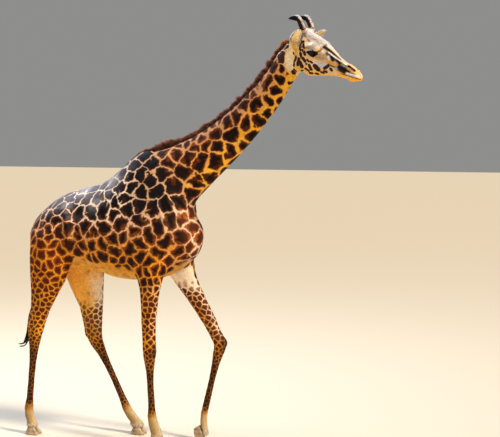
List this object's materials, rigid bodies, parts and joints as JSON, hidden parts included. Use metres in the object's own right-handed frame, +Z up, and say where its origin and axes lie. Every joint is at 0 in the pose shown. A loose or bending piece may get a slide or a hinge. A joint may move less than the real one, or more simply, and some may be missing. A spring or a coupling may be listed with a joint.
{
  "type": "giraffe",
  "caption": "Young Masai giraffe cow walking, life size: long neck with a short mane, skin-covered horns, dark jagged patches on gold, slender legs, cloven hooves and a tufted tail.",
  "frame": {"origin": "on the ground, under the middle of the box round the whole animal", "axes": "+X the way she walks, +Y her left side, +Z up; her head turns a little to her right"},
  "size_m": [2.971, 0.5892, 3.3782],
  "materials": {
    "coat": "short flat hair, dark brown patches with broken edges on golden tan lines, paler on the belly, face and lower legs",
    "mane_hair": "stiff upright red-brown hair",
    "tail_hair": "long wavy black hair",
    "horn_skin": "hairy skin over bone, black hair at the top",
    "hoof": "grown horn with faint rings, dusty",
    "eye": "wet, very dark brown"
  },
  "bodies": {
    "root": {"ear_left": "coat", "ear_right": "coat", "eye_left": "eye", "eye_right": "eye", "fore_left_claw_inner": "hoof", "fore_left_claw_outer": "hoof", "fore_left_pastern": "coat", "fore_left_shank": "coat", "fore_left_upper_leg": "coat", "fore_right_claw_inner": "hoof", "fore_right_claw_outer": "hoof", "fore_right_pastern": "coat", "fore_right_shank": "coat", "fore_right_upper_leg": "coat", "head": "coat", "hind_left_claw_inner": "hoof", "hind_left_claw_outer": "hoof", "hind_left_pastern": "coat", "hind_left_shank": "coat", "hind_left_upper_leg": "coat", "hind_right_claw_inner": "hoof", "hind_right_claw_outer": "hoof", "hind_right_pastern": "coat", "hind_right_shank": "coat", "hind_right_upper_leg": "coat", "horn_left": "horn_skin", "horn_right": "horn_skin", "lower_jaw": "coat", "mane": "mane_hair", "neck_lower": "coat", "neck_upper": "coat", "tail": "coat", "tail_tuft": "tail_hair", "trunk": "coat"}
  },
  "joints": []
}
